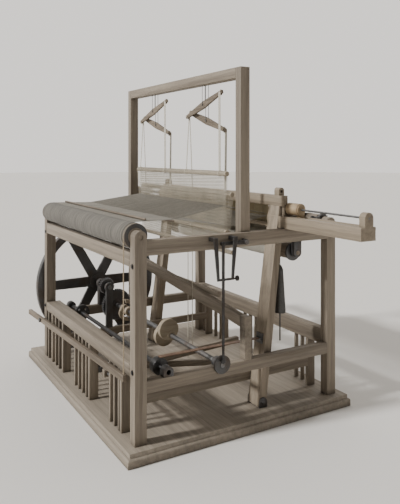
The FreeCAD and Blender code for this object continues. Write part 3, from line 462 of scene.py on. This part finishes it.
# a turned piece: profile is (share of the way along, radius in mm), spun about the line from start to end
def turned(start, end, profile, sides=32):
    start, end = at(*start), at(*end)
    line = end - start
    clearSelection()
    bpy.ops.mesh.primitive_circle_add(vertices=sides, radius=profile[0][1] / 1000, fill_type="NGON",
                                      location=(0, 0, 0))
    piece = bpy.context.active_object
    bpy.ops.object.mode_set(mode="EDIT")
    before = profile[0]
    for share, radius in profile[1:]:
        step = (share - before[0]) * line.length
        bpy.ops.mesh.extrude_region_move(TRANSFORM_OT_translate={"value": (0, 0, step)})
        if radius != before[1]:
            scale = radius / before[1]
            bpy.ops.transform.resize(value=(scale, scale, 1))
        before = (share, radius)
    bpy.ops.mesh.select_all(action="SELECT")
    bpy.ops.mesh.normals_make_consistent(inside=False)
    bpy.ops.object.mode_set(mode="OBJECT")
    piece.rotation_mode = "QUATERNION"
    piece.rotation_quaternion = line.to_track_quat("Z", "Y")
    piece.location = start
    bpy.ops.object.transform_apply(location=True, rotation=True, scale=True)
    return piece


# round threads or wires, each through its own points in mm
def strands(lines, radius, rings=1, closed=False):
    data = bpy.data.curves.new("strand", "CURVE")
    data.dimensions = "3D"
    data.bevel_depth = radius / 1000
    data.bevel_resolution = rings
    data.use_fill_caps = not closed
    for points in lines:
        line = data.splines.new("POLY")
        line.points.add(len(points) - 1)
        for spot, point in zip(line.points, points):
            spot.co = (*at(*point), 1)
        line.use_cyclic_u = closed
    piece = bpy.data.objects.new("strand", data)
    bpy.context.scene.collection.objects.link(piece)
    pick(piece)
    bpy.ops.object.convert(target="MESH")
    return bpy.context.active_object


def strand(points, radius, rings=1, closed=False):
    return strands([points], radius, rings, closed)


# points in mm round a ring or an oval that stands across the loom's width
def ringPoints(x, y, z, across, up, count):
    turns = [2 * math.pi * i / count for i in range(count)]
    return [(x + across * math.cos(a), y, z + up * math.sin(a)) for a in turns]


def joined(pieces):
    clearSelection()
    for piece in pieces:
        piece.select_set(True)
    bpy.context.view_layer.objects.active = pieces[0]
    if len(pieces) > 1:
        bpy.ops.object.join()
    return bpy.context.active_object


def repeated(piece, count, step):
    applyModifier(piece, "ARRAY", count=count, use_relative_offset=False, use_constant_offset=True,
                  constant_offset_displace=[s / 1000 for s in step])
    return piece


def finishCad(node, finish):
    shown = frame["nodes"][node]
    shown.data.materials.clear()
    shown.data.materials.append(finishes[finish])


# the worked timber or casting: the same shape with its arrises taken off
def eased(node, finish, width, angle=38):
    source = frame["nodes"][node]
    piece = bpy.data.objects.new(node + "Worked", source.data.copy())
    bpy.context.scene.collection.objects.link(piece)
    pick(piece)
    bpy.ops.object.mode_set(mode="EDIT")
    bpy.ops.mesh.select_all(action="SELECT")
    bpy.ops.mesh.remove_doubles(threshold=0.00002)
    bpy.ops.mesh.dissolve_limited(angle_limit=math.radians(0.5))
    bpy.ops.object.mode_set(mode="OBJECT")
    applyModifier(piece, "BEVEL", width=width / 1000, segments=2, limit_method="ANGLE",
                  angle_limit=math.radians(angle), use_clamp_overlap=True)
    smooth(piece)
    settle(piece, node + "Worked", finish)
    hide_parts(node)
    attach(piece, ownerOf[node])
    return piece


# timbers and castings
worked = {
    "postWood": ["warp_end_posts", "cloth_end_posts", "arch_posts", "warp_end_uprights",
                 "cloth_end_uprights"],
    "railWood": ["top_rails", "lower_rails", "inner_rails"],
    "crossWood": ["warp_end_rails", "cloth_end_rail", "arch_top_beam", "guide_frame"],
    "plinthWood": ["plinth"],
    "battenWood": ["lay_cap", "race_beam", "batten_blocks"],
    "swordWood": ["batten_swords"],
    "leverWood": ["near_upper_lever", "near_lower_lever", "far_upper_lever", "far_lower_lever",
                  "tension_lever"],
    "camWood": ["cams"],
    "treadleWood": ["front_treadle", "back_treadle"],
    "rollerWood": ["warp_roller", "breast_roller", "cloth_roller"],
    "boxwood": ["shuttle"],
    "castIron": ["iron_bearings", "flywheel", "crank_disc", "cog_wheel", "pinion", "ratchet_wheel"],
    "wroughtIron": ["rod_stirrup", "rocker_lever", "connecting_rod", "ratchet_pawl", "rocking_shaft"],
    "rawHide": ["near_picker", "far_picker"],
}
# width in mm taken off the arrises, where it isn't the usual one
usualEasing = 1.6
easing = {"plinth": 3.0, "warp_end_posts": 2.2, "cloth_end_posts": 2.2, "arch_posts": 2.2, "cog_wheel": 0.6,
          "pinion": 0.6, "ratchet_wheel": 0.5, "shuttle": 1.2, "ratchet_pawl": 0.8, "rod_stirrup": 1.0,
          "near_picker": 1.5}
for finish, nodes in worked.items():
    for node in nodes:
        eased(node, finish, easing.get(node, usualEasing))

# pieces that keep their own mesh
plain = {
    "turnedSteel": ["main_shaft", "cam_shaft", "studs_and_pins", "lever_hangers", "batten_irons"],
    "weightIron": ["cloth_weight"],
    "staveWood": ["front_heald_staves", "back_heald_staves"],
}
for finish, nodes in plain.items():
    for node in nodes:
        finishCad(node, finish)
print("timbers and castings finished")

# warp
warp = {
    "near": 176.0, "far": 1256.0, "pitch": 2.5, "radius": 0.55,
    "rollerX": 29.0, "rollerTop": 985.8, "breastTop": 963.8, "breastX": 1154.0,
    "lease": 270.0, "healds": (592.0, 624.0), "lift": 54.38, "fell": 885.0, "steps": 8, "fan": 0.168,
}


def warpHeight(x):
    share = (x - warp["rollerX"]) / (warp["breastX"] - warp["rollerX"])
    return warp["rollerTop"] + (warp["breastTop"] - warp["rollerTop"]) * share


def between(a, b, steps):
    return [tuple(p + (q - p) * i / steps for p, q in zip(a, b)) for i in range(steps + 1)]


# the warp is wider on its roller than in the healds
def fanned(point):
    x, y, z = point
    share = max(0.0, (warp["healds"][0] - x) / (warp["healds"][0] - warp["rollerX"]))
    middle = loom["width"] / 2
    return (x, middle + (y - middle) * (1 + warp["fan"] * share), z)


def shiftedLines(line, count, pitch):
    return [[fanned((x, y + pitch * i, z)) for x, y, z in line] for i in range(count)]


ends = int((warp["far"] - warp["near"]) / warp["pitch"] / 2)
for index, (label, carrier) in enumerate((("upper", "front_heald"), ("lower", "back_heald"))):
    y = warp["near"] + warp["pitch"] * (0.5 + index)
    x = warp["healds"][index]
    eye = (x, y, warpHeight(x) + warp["lift"] * (1 - 2 * index))
    back = between((warp["lease"], y, warpHeight(warp["lease"])), eye, warp["steps"])
    front = between(eye, (warp["fell"], y, warpHeight(warp["fell"])), warp["steps"])
    for part, line in (("Back", back), ("Front", front)):
        threads = strands(shiftedLines(line, ends, 2 * warp["pitch"]), warp["radius"], 0)
        settle(threads, label + "Warp" + part, "warpYarn")
        if part == "Back":
            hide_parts(label + "_warp")
            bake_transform(threads)
        else:
            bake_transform(threads)
y = warp["near"] + warp["pitch"] * 0.5
run = [(x, y, warpHeight(x)) for x in (warp["rollerX"], warp["lease"])]
still = strands(shiftedLines(run, 2 * ends, warp["pitch"]), warp["radius"], 0)
settle(still, "warpFromRoller", "warpYarn")
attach(still, "frame")

# lease rods, one over the warp and one under it
rodsAcross = {"x": (104.0, 252.0), "y": (112.0, 1311.0), "radius": 6.0, "tip": 4.0, "clear": 0.8}
lease = []
for x, side in zip(rodsAcross["x"], (1, -1)):
    z = warpHeight(x) + side * (rodsAcross["radius"] + rodsAcross["clear"])
    rodProfile = [(0, rodsAcross["tip"]), (0.004, rodsAcross["radius"]),
                  (0.996, rodsAcross["radius"]), (1, rodsAcross["tip"])]
    lease.append(turned((x, rodsAcross["y"][0], z), (x, rodsAcross["y"][1], z), rodProfile, 20))
leaseRods = settle(joined(lease), "leaseRods", "leverWood")
smooth(leaseRods)
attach(leaseRods, "frame")

# yarn wound on the warp roller: ridged where the threads lie side by side
wound = {"x": 29.0, "z": 925.0, "y": (80.0, 1343.0), "radius": 60.0, "core": 40.0, "shoulder": 6.0,
         "rings": 170, "ridge": 0.9}
profile = [(0, wound["core"]), (0.0005, wound["radius"] - wound["shoulder"])]
for i in range(wound["rings"] + 1):
    ridge = random.uniform(0.0, wound["ridge"])
    profile.append((0.004 + 0.992 * i / wound["rings"], wound["radius"] - ridge))
profile += [(0.9995, wound["radius"] - wound["shoulder"]), (1, wound["core"])]
yarnRoll = turned((wound["x"], wound["y"][0], wound["z"]), (wound["x"], wound["y"][1], wound["z"]),
                  profile, 64)
# its finish is the darkened copy of the warp yarn, a painted shade
settle(yarnRoll, "yarnOnRoller", "shadedWoundYarn")
smooth(yarnRoll, 60)
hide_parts("warp_yarn")
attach(yarnRoll, "warp_roller")
print("warp laid")

# cloth; breast and roller are x, z and the radius that it runs on
cloth = {"near": 176.0, "far": 1256.0, "breast": (1154.0, 925.0, 39.0), "roller": (940.0, 778.0, 49.0),
         "columns": 90, "thick": 0.9, "flats": 12, "bend": 18}


# its section: level to the breast roller, round it, and down to the cloth roller
def clothLine():
    near, flats, bend = cloth["near"], cloth["flats"], cloth["bend"]
    bx, bz, br = cloth["breast"]
    cx, cz, cr = cloth["roller"]
    aim = math.atan2(cz - bz, cx - bx)
    last = aim + math.pi / 2 + math.asin((cr - br) / math.hypot(bx - cx, bz - cz))
    line = between((warp["fell"], near, warpHeight(warp["fell"])), (bx, near, bz + br), flats)
    for i in range(1, bend + 1):
        a = math.pi / 2 + (last - math.pi / 2) * i / bend
        line.append((bx + br * math.cos(a), near, bz + br * math.sin(a)))
    meets = (cx + cr * math.cos(last), near, cz + cr * math.sin(last))
    return line + between(line[-1], meets, flats)[1:]


# a sheet drawn out across the loom from a line in mm, with a UV map in metres
def spread(line, width, columns, name):
    data = bpy.data.meshes.new(name)
    rows = []
    run = 0.0
    spots, faces = [], []
    for i, point in enumerate(line):
        if i:
            run += (at(*point) - at(*line[i - 1])).length
        rows.append(run)
        for c in range(columns + 1):
            spots.append(at(point[0], point[1] + width * c / columns, point[2]))
    for i in range(len(line) - 1):
        for c in range(columns):
            a = i * (columns + 1) + c
            faces.append((a, a + 1, a + columns + 2, a + columns + 1))
    data.from_pydata(spots, [], faces)
    chart = data.uv_layers.new(name="UVMap")
    for loop in data.loops:
        i, c = divmod(loop.vertex_index, columns + 1)
        chart.data[loop.index].uv = (c / columns * width / 1000, rows[i])
    piece = bpy.data.objects.new(name, data)
    bpy.context.scene.collection.objects.link(piece)
    return piece, run


line = clothLine()
web, clothLength = spread(line, cloth["far"] - cloth["near"], cloth["columns"], "wovenWeb")
applyModifier(web, "SOLIDIFY", thickness=cloth["thick"] / 1000, offset=0)
settle(web, "wovenWeb", "wovenCloth")
smooth(web, 50)
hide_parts("cloth")
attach(web, "frame")

# cloth wound on its roller, a little fuller in the middle
roll = {"x": 940.0, "z": 778.0, "core": 41.0, "shoulder": 44.0, "edge": 47.4, "middle": 47.8, "wrap": 0.048}
rollProfile = [(0, roll["core"]), (0.0006, roll["shoulder"]), (0.001, roll["edge"]), (0.5, roll["middle"]),
               (0.999, roll["edge"]), (0.9994, roll["shoulder"]), (1, roll["core"])]
clothRoll = turned((roll["x"], cloth["near"], roll["z"]), (roll["x"], cloth["far"], roll["z"]),
                   rollProfile, 64)
settle(clothRoll, "clothOnRoller", "wovenCloth")
clothRoll.data.uv_layers.new(name="UVMap")
for loop in clothRoll.data.loops:
    spot = clothRoll.data.vertices[loop.vertex_index].co
    turn = math.atan2(spot.z - at(0, 0, roll["z"]).z, spot.x - at(roll["x"], 0, 0).x)
    clothRoll.data.uv_layers[0].data[loop.index].uv = (spot.y, turn * roll["wrap"])
smooth(clothRoll, 50)
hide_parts("wound_cloth")
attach(clothRoll, "cloth_roller")
print("cloth laid")

# healds
heald = {"up": 165.0, "down": 135.0, "shaft": 13.0, "pitch": 5.0, "cord": 0.5, "eye": 3.2, "loop": 1.7,
         "levers": (598.0, 620.0), "leverThick": 12.0, "leverMids": (1042.0, 412.0),
         "leverHeights": (1566.0, 1478.0), "run": 177.87, "tape": (20.0, 8.5), "tapeThick": 1.2,
         "tapeClear": 1.6, "treadleY": (527.0, 635.0), "pivot": (78.0, 150.0), "rise": 46.0, "reach": 822.0}


# one bow of a string heddle: from the eye, over the shaft and back
def bow(x, y, z, side, shaft, eyeZ):
    r = shaft + 0.9
    knot = eyeZ + side * heald["eye"] * 0.6
    fork = eyeZ + side * heald["eye"] * 3
    line = [(x - 0.7, y, knot), (x - 0.9, y, fork)]
    for i in range(7):
        a = math.pi * i / 6
        line.append((x - r * math.cos(a), y, z + side * r * math.sin(a)))
    return line + [(x + 0.9, y, fork), (x + 0.7, y, knot)]


for index, name in enumerate(("front", "back")):
    x = warp["healds"][index]
    eyeZ = warpHeight(x) + warp["lift"] * (1 - 2 * index) - 0.4
    y = warp["near"] + warp["pitch"] * (0.5 + index)
    shapes = [strand(bow(x, y, eyeZ + heald["up"], 1, heald["shaft"], eyeZ), heald["cord"], 0),
              strand(bow(x, y, eyeZ - heald["down"], -1, heald["shaft"] - 2, eyeZ), heald["cord"], 0),
              strand(ringPoints(x, y, eyeZ, -1.2, heald["eye"], 8), heald["cord"], 0, True)]
    heddles = repeated(joined(shapes), ends, (0, heald["pitch"], 0))
    settle(heddles, name + "Heddles", "healdCord")
    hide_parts(name + "_heald_cords")
    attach(heddles, name + "_heald")

    # hanging tapes, from cords round the ends of the levers to loops on the upper shaft
    cords, tapes = [], []
    for mid in heald["leverMids"]:
        for leverX, leverZ, tilt in zip(heald["levers"], heald["leverHeights"], (-1, 1)):
            side = (1 if index == 0 else -1) * tilt
            nudge = 5.0 * (tilt * side) if side > 0 else 0.0
            endY = mid + side * heald["run"] + nudge
            face = -1 if index == 0 else 1
            top = (leverX + face * (heald["leverThick"] / 2 + 2.0), endY, leverZ + tilt * side * warp["lift"])
            foot = (x, endY, eyeZ + heald["up"] + heald["shaft"] + 2.0)
            width = heald["tape"][0 if side < 0 else 1]
            clear = face * heald["tapeClear"]
            tapeLine = [(spot[0] + clear, endY - width / 2, spot[2]) for spot in (top, foot)]
            tape = spread(tapeLine, width, 1, "tape")[0]
            applyModifier(tape, "SOLIDIFY", thickness=heald["tapeThick"] / 1000, offset=0)
            tapes.append(tape)
            ring = ringPoints(leverX, endY, top[2], heald["leverThick"] / 2 + 2.2, 14.5, 16)
            cords.append(strand(ring, heald["loop"], 2, True))
            looped = heald["shaft"] + heald["loop"]
            for offset in (-2.2, 2.2):
                loop = ringPoints(x, endY + offset, eyeZ + heald["up"], looped, looped, 16)
                cords.append(strand(loop, heald["loop"], 2, True))
    # the treadle's cord, looped over the lower shaft and under the treadle
    y = heald["treadleY"][index]
    arm = x - heald["pivot"][0]
    down = 0.0 if index == 0 else 2 * warp["lift"] / arm
    treadleZ = heald["pivot"][1] + arm * math.tan(math.atan2(heald["rise"], heald["reach"]) - down)
    lowZ = eyeZ - heald["down"]
    cords.append(strand([(x, y, treadleZ + 22), (x, y, lowZ - heald["shaft"])], 2.2, 2))
    looped = heald["shaft"] + 0.4
    for offset in (-2.4, 2.4):
        cords.append(strand(ringPoints(x, y + offset, lowZ, looped, looped, 16), 2.0, 2, True))
    hung = settle(joined(cords), name + "HangingCords", "healdCord")
    smooth(hung, 60)
    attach(hung, name + "_heald")
    bands = settle(joined(tapes), name + "HangingTapes", "paleTape")
    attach(bands, name + "_heald")
print("healds strung")

# reed
reed = {"x": 862.0, "y": (152.0, 1271.0), "z": (918.0, 1036.0), "rib": 7.0,
        "ribZ": ((917.0, 927.0), (1021.0, 1036.0)), "dent": (0.8, 8.0), "pitch": 5.0}
clearSelection()
dent = block((reed["x"] - reed["dent"][1] / 2, warp["near"] - reed["dent"][0] / 2, reed["z"][0] + 5),
             (reed["x"] + reed["dent"][1] / 2, warp["near"] + reed["dent"][0] / 2, reed["z"][1] - 5), 0.0002)
dents = repeated(dent, int((warp["far"] - warp["near"]) / reed["pitch"]) + 1, (0, reed["pitch"], 0))
ribs = [block((reed["x"] - reed["rib"], reed["y"][0], z0), (reed["x"] + reed["rib"], reed["y"][1], z1), 0.003)
        for z0, z1 in reed["ribZ"]]
reedPiece = settle(joined([dents] + ribs), "caneReed", "cane")
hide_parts("reed")
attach(reedPiece, "batten")

# draw strap and brake rope
strap = {"y": (87.0, 115.0), "start": 170.0, "end": 740.8, "z": 340.3, "thick": 4.0, "steps": 24}
leather = block((strap["start"], strap["y"][0], strap["z"] + 0.2),
                (strap["end"], strap["y"][1], strap["z"] + strap["thick"]), 0.0008)
applyModifier(leather, "BEVEL", width=0.0003, segments=1)
settle(leather, "drawStrap", "strapLeather")
pick(leather)
bpy.ops.object.mode_set(mode="EDIT")
for i in range(1, strap["steps"]):
    cutX = strap["start"] + (strap["end"] - strap["start"]) * (i / strap["steps"])
    bpy.ops.mesh.select_all(action="SELECT")
    bpy.ops.mesh.bisect(plane_co=at(cutX, 0, 0), plane_no=(1, 0, 0))
bpy.ops.object.mode_set(mode="OBJECT")
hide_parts("draw_strap")
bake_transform(leather)

# three twisted strands; lay is the height of one turn
rope = {"x": -26.3, "y": 65.0, "top": 925.0, "foot": 308.2, "radius": 3.0, "lay": 26.0}
strandOff = rope["radius"] * 0.5
twists = []
for k in range(3):
    count = int((rope["top"] - rope["foot"]) / rope["lay"] * 8)
    line = []
    for i in range(count + 1):
        a = 2 * math.pi * (i / 8 + k / 3)
        z = rope["top"] + (rope["foot"] - rope["top"]) * i / count
        line.append((rope["x"] + strandOff * math.cos(a), rope["y"] + strandOff * math.sin(a), z))
    twists.append(strand(line, rope["radius"] * 0.52, 1))
brakeRope = settle(joined(twists), "brakeRope", "hemp")
smooth(brakeRope, 60)
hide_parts("brake_rope")
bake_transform(brakeRope)
print("reed, strap and rope made")

# iron flanges on the rollers; the warp roller's are grooved for the brake rope
flanges = {"warp": {"x": 29.0, "z": 925.0, "y": (53.4, 76.6), "radius": 58.5, "groove": 52.4},
           "cloth": {"x": 940.0, "z": 778.0, "y": (56.0, 69.0), "radius": 47.0}}


def flange(spec, nearSide=True):
    y0, y1 = spec["y"] if nearSide else (loom["width"] - spec["y"][1], loom["width"] - spec["y"][0])
    r = spec["radius"]
    inner = spec.get("groove", r - 3)
    return turned((spec["x"], y0, spec["z"]), (spec["x"], y1, spec["z"]), [
        (0, r - 20), (0.01, r - 19), (0.02, r - 2), (0.08, r), (0.27, r), (0.30, inner), (0.70, inner),
        (0.73, r), (0.92, r), (0.98, r - 2), (0.99, r - 19), (1, r - 20)], 56)


for end, spec in flanges.items():
    heads = settle(joined([flange(spec), flange(spec, False)]), end + "Heads", "castIron")
    smooth(heads)
    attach(heads, end + "_roller")

# one turn of the brake rope, lying in the near groove
coil = {"radius": 55.6, "points": 40, "seat": 0.3}
ringLine = ringPoints(rope["x"] + coil["radius"] - coil["seat"], rope["y"], rope["top"],
                      coil["radius"], coil["radius"], coil["points"])
brakeCoil = settle(strand(ringLine, rope["radius"] * 0.9, 2, True), "brakeCoil", "hemp")
smooth(brakeCoil, 60)
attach(brakeCoil, "frame")

# square-headed bolts that draw the cross rails to the posts
bolts = {"half": 7.0, "washer": 12.0, "thick": 1.8, "proud": 6.0, "y": 26.0,
         "ends": ((0.0, -1, (322.0, 795.0)), (1183.0, 1, (305.0,)))}
fixings = []
for x, out, heights in bolts["ends"]:
    for y in (bolts["y"], loom["width"] - bolts["y"]):
        for z in heights:
            fixings.append(turned((x, y, z), (x + out * bolts["thick"], y, z),
                                  [(0, bolts["washer"]), (1, bolts["washer"])], 24))
            near, far = sorted((x + out * bolts["thick"] * 0.9, x + out * bolts["proud"]))
            half = bolts["half"]
            fixings.append(block((near, y - half, z - half), (far, y + half, z + half), 0.0012))
boltHeads = settle(joined(fixings), "boltHeads", "wroughtIron")
smooth(boltHeads)
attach(boltHeads, "frame")
print("flanges and bolts made")

# floor
clearSelection()
bpy.ops.mesh.primitive_circle_add(vertices=64, radius=40, fill_type="NGON", location=(0, 0, -0.0005))
floor = bpy.context.active_object
floor.name = "floor"
floorMaterial, tree, shader = newMaterial("floorPaper", studio["floor"])
shader.inputs["Base Color"].default_value = studio["floor"]
shader.inputs["Roughness"].default_value = 0.95
floor.data.materials.append(floorMaterial)
